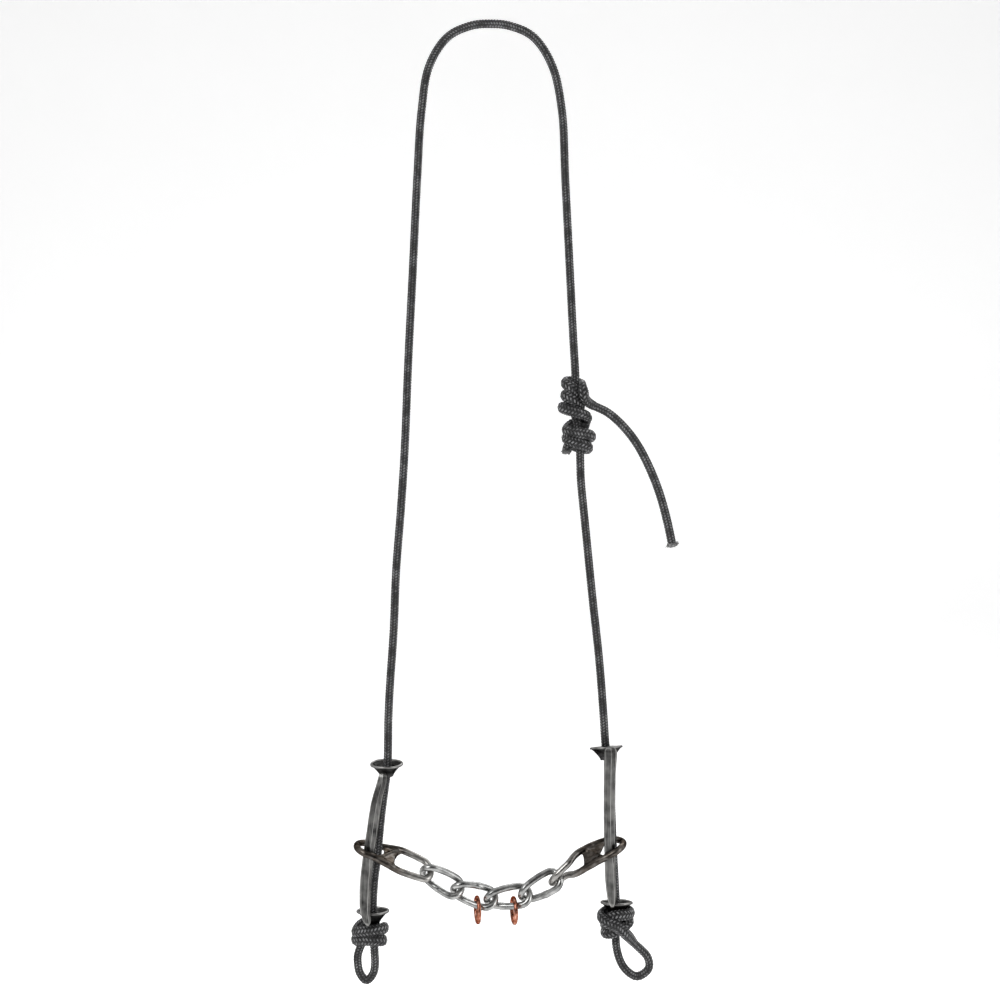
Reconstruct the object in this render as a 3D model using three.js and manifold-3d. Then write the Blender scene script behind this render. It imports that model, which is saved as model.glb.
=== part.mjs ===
// A draw-gag bit on a rope headstall, hanging by its crown.
// A black braided rope forms the headstall. Each end runs down through the two flared eyelets of a
// cheek bar, and ends in a knot with a small rope loop for a rein. The mouthpiece is a chain of four
// twisted links between two twisted connectors, with a copper ring on each of the two middle links.
//
// Millimetres. +X to the wearer's left cheek (picture right), -Y to the front, +Z up.
// The origin is the underside of the rope's crown, where the headstall rests over the poll.

import * as THREE from 'three';
import { mergeVertices } from 'three/addons/utils/BufferGeometryUtils.js';
import Module from 'manifold-3d';

const wasm = await Module();
wasm.setup();

// ---------------------------------------------------------------- driving dimensions

const ROPE = { diameter: 5.2, sides: 10 };
const GAP = 0.4;                   // between solids that touch on the real object
const MOUTH_Y = -4.5;              // the plane that the connectors and the chain lie in
const EYELET = { hole: 3.35, wall: 0.7, rim: 9.8, height: 8, lip: 0.9, segments: 28 };
const LINK = { wire: 3.9, length: 29.8, width: 15, twist: 90, sides: 10 };
const COPPER_RING = { outer: 16.5, wire: 2.4, drop: 2.6, yaw: 10 };
const CONNECTOR = { wire: 3.9, webThickness: 3, eyeEnd: 18.2, eyeRound: 7.5, tipRound: 5, sides: 10 };

// The crown rope: up through the left cheek, over the poll and down to the adjuster knots.
const CROWN_ROUTE = [
  [-70.4, 0, -536.7], [-70.3, 0, -526], [-69.4, 0, -511], [-67.8, 0, -499], [-66.6, 0, -486],
  [-65.1, 0, -471], [-63.3, 0, -457], [-62.1, 0, -448], [-61.4, 0, -440], [-61, 0, -415],
  [-60.2, 0, -397], [-57.8, 0, -361], [-56.3, 0, -325], [-53.5, 0, -289], [-51.2, 0, -253],
  [-49, 0, -199], [-46.3, 0, -145], [-43.7, 0, -91], [-41, 0, -49], [-36.4, 0, -22.5],
  [-25.4, 0, -5.3], [-11, 0, 1.6], [0, 0, 2.6], [11, 0, 1.6], [25.6, 0, -4.9], [37.1, 0, -22],
  [43.1, 0, -49], [45.2, 0, -91], [47.9, 0, -145], [49.7, 0, -181], [51.3, 0, -208.6],
];
// The rope from the adjuster knots down through the right cheek.
const RIGHT_ROUTE = [
  [54.1, 0, -256.7], [54.5, 0, -271], [56.2, 0, -289], [58, 0, -307], [61.6, 0, -343],
  [65.5, 0, -379], [68.3, 0, -415], [69.3, 0, -430], [70.9, 0, -439], [72.3, -0.4, -457],
  [72.9, -0.6, -472], [73.6, -0.7, -490], [74.8, -0.35, -511], [75.8, 0, -531.2],
];
// The free tail that is left over at the adjuster, and the two rein loops.
const TAIL_ROUTE = [
  [62.4, 0, -226.6], [70.6, 0, -230.6], [79.7, 0, -238.6], [88.2, 0, -249.5], [95.8, 0, -264],
  [102, 0, -280], [106.6, 0, -297], [109.2, 0, -309.3],
];
const LEFT_LOOP_ROUTE = [
  [-79.2, 0, -551.3], [-79.4, 0, -560], [-78, 0, -567], [-74, 0, -571.3], [-70, 0, -567],
  [-68.8, 0, -560], [-69.4, 0, -551.6],
];
const RIGHT_LOOP_ROUTE = [
  [74.9, 0, -546.7], [76.2, 0, -553.5], [80.4, 0, -563.6], [88.1, 0, -568.9], [95.3, 0, -564],
  [94.4, 0, -556.8], [87, 0, -549.6],
];

// Cheeks. An eyelet is placed by its small lower end, and tilted back and sideways in degrees.
const CHEEKS = {
  left: {
    upper: { at: [-62, 0, -448.6], back: -4, side: 0 },
    lower: { at: [-70.3, 0, -537.1], back: 5, side: 0 },
    bar: [
      { at: [-63.4, -6.6, -445], width: 4.4, depth: 3.6 },
      { at: [-64.4, -7.6, -451.5], width: 6, depth: 4.6 },
      { at: [-67.2, -8.7, -462.5], width: 6.6, depth: 5 },
      { at: [-70.3, -9.5, -483.3], width: 6.7, depth: 4.8 },
      { at: [-72.2, -9.8, -496.2], width: 6.7, depth: 4.8 },
      { at: [-73.7, -10.4, -512], width: 6.8, depth: 5 },
      { at: [-73.7, -10.9, -526], width: 6.4, depth: 4.6 },
      { at: [-72.4, -11.1, -533], width: 4.4, depth: 3.2 },
      { at: [-72, -11.1, -535.2], width: 1.6, depth: 1.4 },
    ],
  },
  right: {
    upper: { at: [70.4, 0, -439], back: 10, side: -4 },
    lower: { at: [76, 0, -532.1], back: 9, side: 0 },
    bar: [
      { at: [71.6, -10.4, -429.2], width: 7.6, depth: 2.4 },
      { at: [71.4, -9.9, -436], width: 7.6, depth: 4.4 },
      { at: [71.1, -9.6, -445], width: 6.8, depth: 5 },
      { at: [70.9, -9.5, -470], width: 6.8, depth: 5 },
      { at: [71.1, -9.6, -490], width: 6.6, depth: 5 },
      { at: [71.5, -10.1, -508], width: 6.4, depth: 4.8 },
      { at: [72.1, -10.8, -518], width: 5.6, depth: 4.2 },
      { at: [72.4, -11.2, -524], width: 3, depth: 2.6 },
    ],
  },
};

// Connectors run from the eye round the cheek to the tip in the chain. Along is the distance from
// the eye's outer end, half the loop's half width there, and twist the angle of its plane from
// upright: -90 lies level, with the far side as the upper strand.
const CONNECTORS = {
  left: {
    path: [[-79.3, -489], [-57, -496.2], [-35.4, -505.4]],
    innerEye: 23.2,
    stations: [
      { along: 0, half: 10.6, twist: -90 }, { along: 12, half: 10.6, twist: -89 },
      { along: 22, half: 9.4, twist: -74 }, { along: 28, half: 8.2, twist: -59 },
      { along: 36, half: 6.9, twist: -49 }, { along: 46, half: 5.6, twist: -45 },
    ],
  },
  right: {
    path: [[79.5, -487.5], [56.5, -494], [36.8, -511]],
    innerEye: 24.4,
    stations: [
      { along: 0, half: 10.6, twist: -90 }, { along: 11, half: 10.6, twist: -80 },
      { along: 18, half: 9, twist: -72 }, { along: 25, half: 6.8, twist: -50 },
      { along: 31, half: 6.2, twist: -15 }, { along: 36, half: 5.6, twist: 36 },
      { along: 47, half: 5.6, twist: 56 },
    ],
  },
};

// Where each link of the chain hangs in the next, from the left connector to the right one.
const PITCH_POINTS = [[-37.9, -504.6], [-19.3, -515.4], [0.6, -521.2], [21.1, -518.6], [39.5, -508.6]];
// Copper rings: the pair of pitch points of the link each hangs on, and how far right of its middle.
const RINGS = [
  { name: 'left_copper_ring', link: 1, along: 3.6 },
  { name: 'right_copper_ring', link: 2, along: 2.8 },
];

// Knots, as closed solids of their outer shape: centre and half sizes.
const KNOTS = {
  upper_adjuster_knot: { at: [50.4, 0, -222.4], half: [8.6, 7.2, 13.3] },
  lower_adjuster_knot: { at: [53.6, 0, -246.5], half: [9.6, 7.6, 9.8] },
  left_rein_knot: { at: [-72, 0, -542.6], half: [10.2, 8.6, 8.4] },
  right_rein_knot: { at: [75.6, 0, -536.6], half: [11.3, 9.2, 9.4] },
};

// ---------------------------------------------------------------- materials

const finish = (color, roughness, metalness) =>
  new THREE.MeshStandardMaterial({ color, roughness, metalness });
const ropeBlack = finish(0x26262a, 0.85, 0);
const darkSteel = finish(0x55534f, 0.42, 0.95);
const brownSteel = finish(0x6b625a, 0.45, 0.95);
const brightZinc = finish(0xb9bab8, 0.28, 1);
const copper = finish(0xa05a3c, 0.35, 1);

// ---------------------------------------------------------------- geometry helpers

const vec = (a) => new THREE.Vector3(...a);
const rad = THREE.MathUtils.degToRad;

/** A smooth value through stations, by the distance along. */
function along(stations, key, distance) {
  const last = stations.length - 1;
  let i = 0;
  while (i < last - 1 && distance > stations[i + 1].along) i += 1;
  const [a, b] = [stations[i], stations[i + 1]];
  const t = THREE.MathUtils.smoothstep(distance, a.along, b.along);
  return THREE.MathUtils.lerp(a[key], b[key], t);
}

/** A closed solid through equal rings of points, joined end to end or capped at both ends. */
function skin(rings, joined) {
  const positions = rings.flatMap((ring) => ring.flatMap((p) => [p.x, p.y, p.z]));
  const [n, sides] = [rings.length, rings[0].length];
  const index = [];
  const lastStrip = joined ? n : n - 1;
  for (let i = 0; i < lastStrip; i += 1) {
    for (let k = 0; k < sides; k += 1) {
      const [a, b] = [i * sides + k, i * sides + ((k + 1) % sides)];
      const [c, d] = [((i + 1) % n) * sides + k, ((i + 1) % n) * sides + ((k + 1) % sides)];
      index.push(a, b, d, a, d, c);
    }
  }
  if (!joined) {
    for (const [ring, start] of [[rings[0], 0], [rings[n - 1], (n - 1) * sides]]) {
      const centre = ring.reduce((sum, p) => sum.add(p), new THREE.Vector3()).divideScalar(sides);
      const middle = positions.length / 3;
      positions.push(centre.x, centre.y, centre.z);
      for (let k = 0; k < sides; k += 1) {
        const [a, b] = [start + k, start + ((k + 1) % sides)];
        index.push(...(start === 0 ? [middle, b, a] : [middle, a, b]));
      }
    }
  }
  const geometry = new THREE.BufferGeometry();
  geometry.setAttribute('position', new THREE.Float32BufferAttribute(positions, 3));
  geometry.setIndex(index);
  if (signedVolume(geometry) < 0) {
    index.reverse();
    geometry.setIndex(index);
  }
  geometry.computeVertexNormals();
  return geometry;
}

function signedVolume(geometry) {
  const [p, index] = [geometry.attributes.position, geometry.index];
  const corner = [0, 1, 2].map(() => new THREE.Vector3());
  let volume = 0;
  for (let i = 0; i < index.count; i += 3) {
    corner.forEach((v, k) => v.fromBufferAttribute(p, index.getX(i + k)));
    volume += corner[0].dot(corner[1].clone().cross(corner[2])) / 6;
  }
  return volume;
}

/** A round wire bent into a closed loop. Each point brings the normal of the loop's plane there. */
function wireLoop(points, normals, wire, sides) {
  const n = points.length;
  const rings = points.map((point, i) => {
    const tangent = points[(i + 1) % n].clone().sub(points[(i + n - 1) % n]).normalize();
    const up = normals[i].clone().addScaledVector(tangent, -normals[i].dot(tangent)).normalize();
    const out = tangent.clone().cross(up);
    return Array.from({ length: sides }, (_, k) => {
      const angle = (2 * Math.PI * k) / sides;
      return point.clone()
        .addScaledVector(up, (Math.cos(angle) * wire) / 2)
        .addScaledVector(out, (Math.sin(angle) * wire) / 2);
    });
  });
  return skin(rings, true);
}

/** A rope of round section along a route. */
function rope(route, steps) {
  const circle = new THREE.Shape();
  for (let k = 0; k < ROPE.sides; k += 1) {
    const angle = (2 * Math.PI * k) / ROPE.sides;
    const [x, y] = [Math.cos(angle), Math.sin(angle)].map((c) => (c * ROPE.diameter) / 2);
    if (k === 0) circle.moveTo(x, y);
    else circle.lineTo(x, y);
  }
  circle.closePath();
  const extrudePath = new THREE.CatmullRomCurve3(route.map(vec), false, 'centripetal');
  return new THREE.ExtrudeGeometry(circle, { steps, extrudePath, bevelEnabled: false });
}

function toSolid(geometry, matrix = new THREE.Matrix4()) {
  const bare = geometry.clone().applyMatrix4(matrix);
  bare.deleteAttribute('normal');
  bare.deleteAttribute('uv');
  const merged = mergeVertices(bare, 1e-4);
  return new wasm.Manifold(new wasm.Mesh({
    numProp: 3,
    vertProperties: merged.attributes.position.array,
    triVerts: Uint32Array.from(merged.index.array),
  }));
}

function fromSolid(solid) {
  const { vertProperties, triVerts } = solid.getMesh();
  const geometry = new THREE.BufferGeometry();
  geometry.setAttribute('position', new THREE.Float32BufferAttribute(vertProperties, 3));
  geometry.setIndex([...triVerts]);
  geometry.computeVertexNormals();
  return geometry;
}

/** What is left of a solid once other solids are cut out of it. */
function cut(geometry, cutters) {
  return fromSolid(cutters.reduce((solid, cutter) => solid.subtract(cutter), toSolid(geometry)));
}

// ---------------------------------------------------------------- eyelets and cheek bars

/** The flared outside of an eyelet, from its small end up, grown by a margin. */
function eyeletOutside(margin) {
  const small = EYELET.hole + EYELET.wall + margin;
  const rim = EYELET.rim + margin;
  return [
    [small, -margin], [small + 0.4, 1.2], [small + 1.8, 3.2], [rim - 1.6, 6], [rim, 7.4 - margin / 2],
  ].map(([x, y]) => new THREE.Vector2(x, y));
}

function eyelet() {
  const { hole, height, rim, lip, segments } = EYELET;
  const lipPoints = [[rim, height - 0.2], [rim - lip / 2, height], [rim - lip, height - 0.3]];
  const inside = [[rim - 2.6, 6], [hole + 2, 3.4], [hole + 0.3, 1.6], [hole, 0.8], [hole, 0]];
  const profile = [
    ...eyeletOutside(0),
    ...[...lipPoints, ...inside].map(([x, y]) => new THREE.Vector2(x, y)),
  ];
  profile.push(profile[0].clone());
  return new THREE.LatheGeometry(profile, segments).rotateX(Math.PI / 2);
}

/** The solid that keeps other pieces clear of an eyelet, open space above it included. */
function eyeletClearance() {
  const headroom = 6;
  const profile = [
    new THREE.Vector2(0, -GAP), ...eyeletOutside(GAP),
    new THREE.Vector2(EYELET.rim + GAP, EYELET.height + GAP),
    new THREE.Vector2(EYELET.rim - EYELET.lip, EYELET.height + GAP),
    new THREE.Vector2(EYELET.rim - EYELET.lip, EYELET.height + headroom),
    new THREE.Vector2(0, EYELET.height + headroom),
  ];
  return new THREE.LatheGeometry(profile, EYELET.segments).rotateX(Math.PI / 2);
}

function place(object, { at, back, side }) {
  object.position.set(...at);
  object.rotation.set(-rad(back), rad(side), 0);
  object.updateMatrixWorld(true);
  return object;
}

/** A cheek bar: rounded section, bowed, and drawn out at both ends. */
function bar(stations) {
  const [sides, steps] = [16, 30];
  const roundness = 0.8;           // 1 is an ellipse, less is squarer
  const path = new THREE.CatmullRomCurve3(stations.map((s) => vec(s.at)), false, 'centripetal');
  const sizes = new THREE.CatmullRomCurve3(stations.map((s) => vec([s.width, s.depth, 0])));
  const rings = [];
  for (let i = 0; i <= steps; i += 1) {
    const [centre, size] = [path.getPoint(i / steps), sizes.getPoint(i / steps)];
    rings.push(Array.from({ length: sides }, (_, k) => {
      const angle = (2 * Math.PI * k) / sides;
      const [c, s] = [Math.cos(angle), Math.sin(angle)];
      return new THREE.Vector3(
        centre.x + (size.x / 2) * Math.sign(c) * Math.abs(c) ** roundness,
        centre.y + (size.y / 2) * Math.sign(s) * Math.abs(s) ** roundness,
        centre.z,
      );
    }));
  }
  return skin(rings, false);
}

// ---------------------------------------------------------------- chain and connectors

/** Upper strand's direction on a loop whose plane is turned by twist from upright. */
const strandDirection = (twist) => new THREE.Vector3(0, -Math.sin(rad(twist)), Math.cos(rad(twist)));
const planeNormal = (twist) => new THREE.Vector3(0, -Math.cos(rad(twist)), -Math.sin(rad(twist)));

/** A twisted link, its length along X. */
function chainLink() {
  const bend = (LINK.width - LINK.wire) / 2;
  const tip = (LINK.length - LINK.wire) / 2;
  const [bendSteps, straightSteps] = [8, 5];
  const outline = [];
  for (const end of [1, -1]) {
    for (let i = 0; i < bendSteps; i += 1) {
      const angle = Math.PI * (0.5 - i / bendSteps);
      outline.push([end * (tip - bend + bend * Math.cos(angle)), end * bend * Math.sin(angle)]);
    }
    for (let i = 0; i < straightSteps; i += 1) {
      outline.push([end * (tip - bend) * (1 - (2 * i) / straightSteps), -end * bend]);
    }
  }
  const twistAt = (x) => (-LINK.twist / 2) * (x / tip);
  const points = outline.map(([x, half]) =>
    strandDirection(twistAt(x)).multiplyScalar(half).setX(x));
  return wireLoop(points, outline.map(([x]) => planeNormal(twistAt(x))), LINK.wire, LINK.sides);
}

/** A connector: a long twisted loop of wire with a web across it, between its two eyes. */
function connector({ path, innerEye, stations }) {
  const { wire, webThickness, eyeEnd, eyeRound, tipRound, sides } = CONNECTOR;
  const [start, middle, end] = path.map(([x, z]) => new THREE.Vector3(x, MOUTH_Y, z));
  const axis = new THREE.QuadraticBezierCurve3(start, middle, end);
  const length = axis.getLength();
  const endRound = (d) => {
    if (d < eyeRound) return Math.sqrt(Math.max(0, 1 - ((eyeRound - d) / eyeRound) ** 2));
    const past = Math.max(0, d - (length - tipRound));
    return Math.sqrt(Math.max(0, 1 - (past / tipRound) ** 2));
  };
  const spot = (d, across) => {
    const offset = across * along(stations, 'half', d);
    return axis.getPointAt(THREE.MathUtils.clamp(d / length, 0, 1))
      .addScaledVector(strandDirection(along(stations, 'twist', d)), offset);
  };

  // the wire loop: out along the upper strand, back along the lower one
  const distances = [];
  const [arcSteps, runSteps] = [7, 14];
  for (let i = 0; i < arcSteps; i += 1) {
    distances.push(eyeRound * (1 - Math.cos((Math.PI / 2) * (i / arcSteps))));
  }
  for (let i = 0; i < runSteps; i += 1) {
    distances.push(THREE.MathUtils.lerp(eyeRound, length - tipRound, i / runSteps));
  }
  for (let i = 0; i <= arcSteps; i += 1) {
    distances.push(length - tipRound * (1 - Math.sin((Math.PI / 2) * (i / arcSteps))));
  }
  const circuit = [
    ...distances.map((d) => [d, 1]),
    ...distances.slice(1, -1).reverse().map((d) => [d, -1]),
  ];
  const points = circuit.map(([d, strand]) => spot(d, strand * endRound(d)));
  const normals = circuit.map(([d]) => planeNormal(along(stations, 'twist', d)));
  const loop = wireLoop(points, normals, wire, sides);

  // the web: hollowed on one side by the eye round the cheek, on the other by the inner eye
  const [acrossSteps, webSteps] = [12, 6];
  const innerRound = 5.5;
  const rings = [];
  for (let j = 0; j <= acrossSteps; j += 1) {
    const across = -1 + (2 * j) / acrossSteps;
    const hollow = 1 - Math.sqrt(1 - (0.98 * across) ** 2);
    const from = eyeEnd - (eyeRound - wire / 2) * hollow;
    const to = innerEye + innerRound * hollow;
    const row = Array.from({ length: webSteps + 1 }, (_, i) => from + ((to - from) * i) / webSteps);
    const face = (d, side) => spot(d, across)
      .addScaledVector(planeNormal(along(stations, 'twist', d)), (side * webThickness) / 2);
    rings.push([...row.map((d) => face(d, 1)), ...row.reverse().map((d) => face(d, -1))]);
  }
  return fromSolid(toSolid(loop).add(toSolid(skin(rings, false))));
}

// ---------------------------------------------------------------- assembly

const headstall = new THREE.Group();

function add(name, geometry, material, group = headstall) {
  const mesh = new THREE.Mesh(geometry, material);
  mesh.name = name;
  group.add(mesh);
  return mesh;
}

add('crown_rope', rope(CROWN_ROUTE, 46), ropeBlack);
add('right_rope', rope(RIGHT_ROUTE, 17), ropeBlack);
add('adjuster_tail', rope(TAIL_ROUTE, 6), ropeBlack);
add('left_rein_loop', rope(LEFT_LOOP_ROUTE, 9), ropeBlack);
add('right_rein_loop', rope(RIGHT_LOOP_ROUTE, 9), ropeBlack);

const eyeletShape = eyelet();
const clearanceShape = eyeletClearance();
const clearances = {};
for (const [side, cheek] of Object.entries(CHEEKS)) {
  clearances[side] = [];
  for (const level of ['upper', 'lower']) {
    const piece = place(add(`${side}_${level}_eyelet`, eyeletShape, darkSteel), cheek[level]);
    clearances[side].push(toSolid(clearanceShape, piece.matrixWorld));
  }
  add(`${side}_cheek_bar`, cut(bar(cheek.bar), clearances[side]), darkSteel);
  add(`${side}_connector`, connector(CONNECTORS[side]), brownSteel);
}

const knotShape = new THREE.SphereGeometry(1, 22, 14).rotateX(Math.PI / 2);
for (const [name, { at, half }] of Object.entries(KNOTS)) {
  const matrix = new THREE.Matrix4().makeTranslation(...at).scale(vec(half));
  const solid = knotShape.clone().applyMatrix4(matrix);
  const side = name.split('_')[0];
  const cutters = clearances[side] ?? [];
  add(name, cutters.length > 0 ? cut(solid, cutters) : solid, ropeBlack);
}

const linkShape = chainLink();
const links = PITCH_POINTS.slice(1).map(([x, z], i) => {
  const [fromX, fromZ] = PITCH_POINTS[i];
  const link = add(`chain_link_${i + 1}`, linkShape, brightZinc);
  link.position.set((fromX + x) / 2, MOUTH_Y, (fromZ + z) / 2);
  link.rotation.y = -Math.atan2(z - fromZ, x - fromX);
  return link;
});

// A ring hangs round a link's lower strand, its middle a little below the strand's.
const ringRadius = (COPPER_RING.outer - COPPER_RING.wire) / 2;
const ringShape = new THREE.TorusGeometry(ringRadius, COPPER_RING.wire / 2, 8, 28)
  .rotateY(Math.PI / 2);
for (const { name, link, along: distance } of RINGS) {
  const tip = (LINK.length - LINK.wire) / 2;
  const half = (LINK.width - LINK.wire) / 2;
  const strand = strandDirection((-LINK.twist / 2) * (distance / tip)).multiplyScalar(-half);
  strand.setX(distance).applyEuler(links[link].rotation).add(links[link].position);
  const ring = add(name, ringShape, copper);
  ring.position.copy(strand).setZ(strand.z - COPPER_RING.drop);
  ring.rotation.z = rad(COPPER_RING.yaw);
}

export default headstall;
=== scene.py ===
"""A draw-gag bit on a braided rope headstall: its look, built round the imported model.

Lengths in the tables are millimetres, and every object is in metres.
+X runs across the mouthpiece, -Y is the front, +Z is up.
"""

import bpy
import math
import numpy as np
from mathutils import Matrix, Vector, noise

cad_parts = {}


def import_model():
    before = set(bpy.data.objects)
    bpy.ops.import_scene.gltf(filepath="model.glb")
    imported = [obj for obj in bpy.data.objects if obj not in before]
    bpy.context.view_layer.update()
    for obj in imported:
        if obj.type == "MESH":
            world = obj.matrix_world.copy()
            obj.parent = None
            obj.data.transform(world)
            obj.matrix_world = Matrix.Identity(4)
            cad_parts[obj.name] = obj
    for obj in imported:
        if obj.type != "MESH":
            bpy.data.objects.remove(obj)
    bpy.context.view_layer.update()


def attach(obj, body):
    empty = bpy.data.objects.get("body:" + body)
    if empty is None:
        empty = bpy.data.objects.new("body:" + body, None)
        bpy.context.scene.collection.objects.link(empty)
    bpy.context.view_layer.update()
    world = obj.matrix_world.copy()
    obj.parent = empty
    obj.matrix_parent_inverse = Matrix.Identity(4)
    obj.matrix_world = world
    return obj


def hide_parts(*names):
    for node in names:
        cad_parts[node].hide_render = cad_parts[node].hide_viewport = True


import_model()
MM = 0.001

# ---------------- dimensions

ROPE_RADIUS = 2.6
EYELET = {"hole": 3.35, "wall": 0.7, "rim": 9.8, "height": 8.0}
LINK = {"wire": 3.9, "length": 29.8, "width": 15.0, "twist": 90.0}
RING = {"outer": 16.5, "wire": 2.4, "drop": 2.6, "yaw": 10.0}
MOUTH_Y = -4.5        # the plane that the connectors and the chain lie in

# Where an eyelet's small end is, and how far it tilts back and sideways in degrees.
EYELETS = {
    "left": {"upper": ((-62, 0, -448.6), -4, 0), "lower": ((-70.3, 0, -537.1), 5, 0)},
    "right": {"upper": ((70.4, 0, -439), 10, -4), "lower": ((76, 0, -532.1), 9, 0)},
}
# A cheek bar's stations from the top: the middle of its section, its width and its depth.
BARS = {
    "left": [
        ((-63.4, -6.6, -445), 4.4, 3.6), ((-64.4, -7.6, -451.5), 6, 4.6), ((-67.2, -8.7, -462.5), 6.6, 5),
        ((-70.3, -9.5, -483.3), 6.7, 4.8), ((-72.2, -9.8, -496.2), 6.7, 4.8),
        ((-73.7, -10.4, -512), 6.8, 5), ((-73.7, -10.9, -526), 6.4, 4.6),
        ((-72.4, -11.1, -533), 4.4, 3.2), ((-72, -11.1, -535.2), 1.6, 1.4),
    ],
    "right": [
        ((71.6, -10.4, -429.2), 7.6, 2.4), ((71.4, -9.9, -436), 7.6, 4.4), ((71.1, -9.6, -445), 6.8, 5),
        ((70.9, -9.5, -470), 6.8, 5), ((71.1, -9.6, -490), 6.6, 5), ((71.5, -10.1, -508), 6.4, 4.8),
        ((72.1, -10.8, -518), 5.6, 4.2), ((72.4, -11.2, -524), 3, 2.6),
    ],
}
# The ridge where a bar's two front facets meet, as a share of its half width, and the heights between
# which it moves from the one to the other.
UPPER_RIDGE, LOWER_RIDGE = 0.12, 0.6
RIDGE_MOVES = (-486, -502)
HEAT_STAIN = (-1, 6.2)     # from where to where across the right lower eyelet

# A connector's axis from the eye's outer end to its tip, and along it the loop's half width and twist.
# The web between its eyes is hollowed from both sides: where it starts and stops, near to far strand.
# The deck behind the web runs from a row between the strands, as the near one is -1 and the far one is 1,
# and reaches back along the far strand to a distance.
CONNECTOR = {"wire": 3.9, "eye_round": 7.5, "tip_round": 5.0, "web": 2.5, "rim": 1.55}
DECK = {"thick": 1.8, "twist": -84}
CONNECTORS = {
    "left": {
        "path": ((-79.3, -489), (-57, -496.2), (-35.4, -505.4)),
        "stations": [
            (0, 10.6, -90), (12, 10.6, -89), (22, 9.4, -74), (28, 8.2, -59), (36, 6.9, -49),
            (46, 5.6, -45),
        ],
        "web_start": (12.5, 15.5, 18, 21.5, 26.5), "web_stop": (25.5, 24, 24, 25.5, 29),
        "deck": (-0.3, 16.2),
    },
    "right": {
        "path": ((79.5, -487.5), (56.5, -494), (36.8, -511)),
        "stations": [
            (0, 10.6, -90), (11, 10.6, -80), (18, 9, -72), (25, 6.4, -50), (31, 5.4, -12), (36, 5.3, 36),
            (47, 5.6, 56),
        ],
        "web_start": (12.5, 15.5, 18, 21.5, 25.5), "web_stop": (27, 25.5, 25.5, 26, 28),
        "deck": (-0.5, 9.6),
    },
}
# Where each link of the chain hangs in the next, from the left connector to the right one.
PITCH_POINTS = [(-37.9, -504.6), (-19.3, -515.4), (0.6, -521.2), (21.1, -518.6), (39.5, -508.6)]
# The weld on each link: the strand it is on, and how far right of the link's middle.
WELDS = [(-1, -0.6), (1, 1.0), (-1, -4.5), (-1, 0.8)]
# The link that each copper ring hangs on, and how far right of the link's middle.
RINGS = {"left_copper_ring": (1, 3.6), "right_copper_ring": (2, 2.8)}

CROWN_ROUTE = [
    (-70.4, 0, -536.7), (-70.3, 0, -526), (-69.4, 0, -511), (-67.8, 0, -499), (-66.6, 0, -486),
    (-65.1, 0, -471), (-63.3, 0, -457), (-62.1, 0, -448), (-61.4, 0, -440), (-61, 0, -415),
    (-60.2, 0, -397), (-57.8, 0, -361), (-56.3, 0, -325), (-53.5, 0, -289), (-51.2, 0, -253),
    (-49, 0, -199), (-46.3, 0, -145), (-43.7, 0, -91), (-41, 0, -49), (-36.4, 0, -22.5),
    (-25.4, 0, -5.3), (-11, 0, 1.6), (0, 0, 2.6), (11, 0, 1.6), (25.6, 0, -4.9), (37.1, 0, -22),
    (43.1, 0, -49), (45.2, 0, -91), (47.9, 0, -145), (49.7, 0, -181), (51.3, 0, -208.6),
]
RIGHT_ROUTE = [
    (54.1, 0, -256.7), (54.5, 0, -271), (56.2, 0, -289), (58, 0, -307), (61.6, 0, -343),
    (65.5, 0, -379), (68.3, 0, -415), (69.3, 0, -430), (70.9, 0, -439), (72.3, -0.4, -457),
    (72.9, -0.6, -472), (73.6, -0.7, -490), (74.8, -0.35, -511), (75.8, 0, -531.2),
]
TAIL_ROUTE = [
    (62.4, 0, -226.6), (70.6, 0, -230.6), (79.7, 0, -238.6), (88.2, 0, -249.5), (95.8, 0, -264),
    (102, 0, -280), (106.6, 0, -297), (109.2, 0, -309.3),
]
LEFT_LOOP = [(-79.4, 0, -560), (-78, 0, -567), (-74, 0, -571.3), (-70, 0, -567), (-68.9, 0, -560)]
RIGHT_LOOP = [
    (91, 0, -553.2), (94.6, 0, -557.4), (95.3, 0, -564), (88.1, 0, -568.9), (80.4, 0, -563.6),
    (76.2, 0, -553.5),
]

# ---------------- small helpers


def arr(points):
    return np.array(points, float)


def unit(v):
    return v / np.maximum(np.linalg.norm(v, axis=-1, keepdims=True), 1e-12)


def spline(points, step=0.5):
    """Points a step apart along a centripetal Catmull-Rom curve."""
    p = arr(points)
    p = np.vstack([2 * p[0] - p[1], p, 2 * p[-1] - p[-2]])
    t = np.r_[0, np.cumsum(np.linalg.norm(np.diff(p, axis=0), axis=1) ** 0.5)]
    out = []
    for i in range(1, len(p) - 2):
        t0, t1, t2, t3 = t[i - 1 : i + 3]
        u = np.linspace(t1, t2, 40, endpoint=False)[:, None]
        a1 = (t1 - u) / (t1 - t0) * p[i - 1] + (u - t0) / (t1 - t0) * p[i]
        a2 = (t2 - u) / (t2 - t1) * p[i] + (u - t1) / (t2 - t1) * p[i + 1]
        a3 = (t3 - u) / (t3 - t2) * p[i + 1] + (u - t2) / (t3 - t2) * p[i + 2]
        b1 = (t2 - u) / (t2 - t0) * a1 + (u - t0) / (t2 - t0) * a2
        b2 = (t3 - u) / (t3 - t1) * a2 + (u - t1) / (t3 - t1) * a3
        out.append((t2 - u) / (t2 - t1) * b1 + (u - t1) / (t2 - t1) * b2)
    out.append(p[-2][None])
    return resample(np.vstack(out), step)


def lengths(p):
    return np.r_[0, np.cumsum(np.linalg.norm(np.diff(p, axis=0), axis=1))]


def resample(p, step):
    s = lengths(p)
    at = np.linspace(0, s[-1], max(2, int(round(s[-1] / step)) + 1))
    return np.stack([np.interp(at, s, p[:, k]) for k in range(3)], 1)


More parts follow.
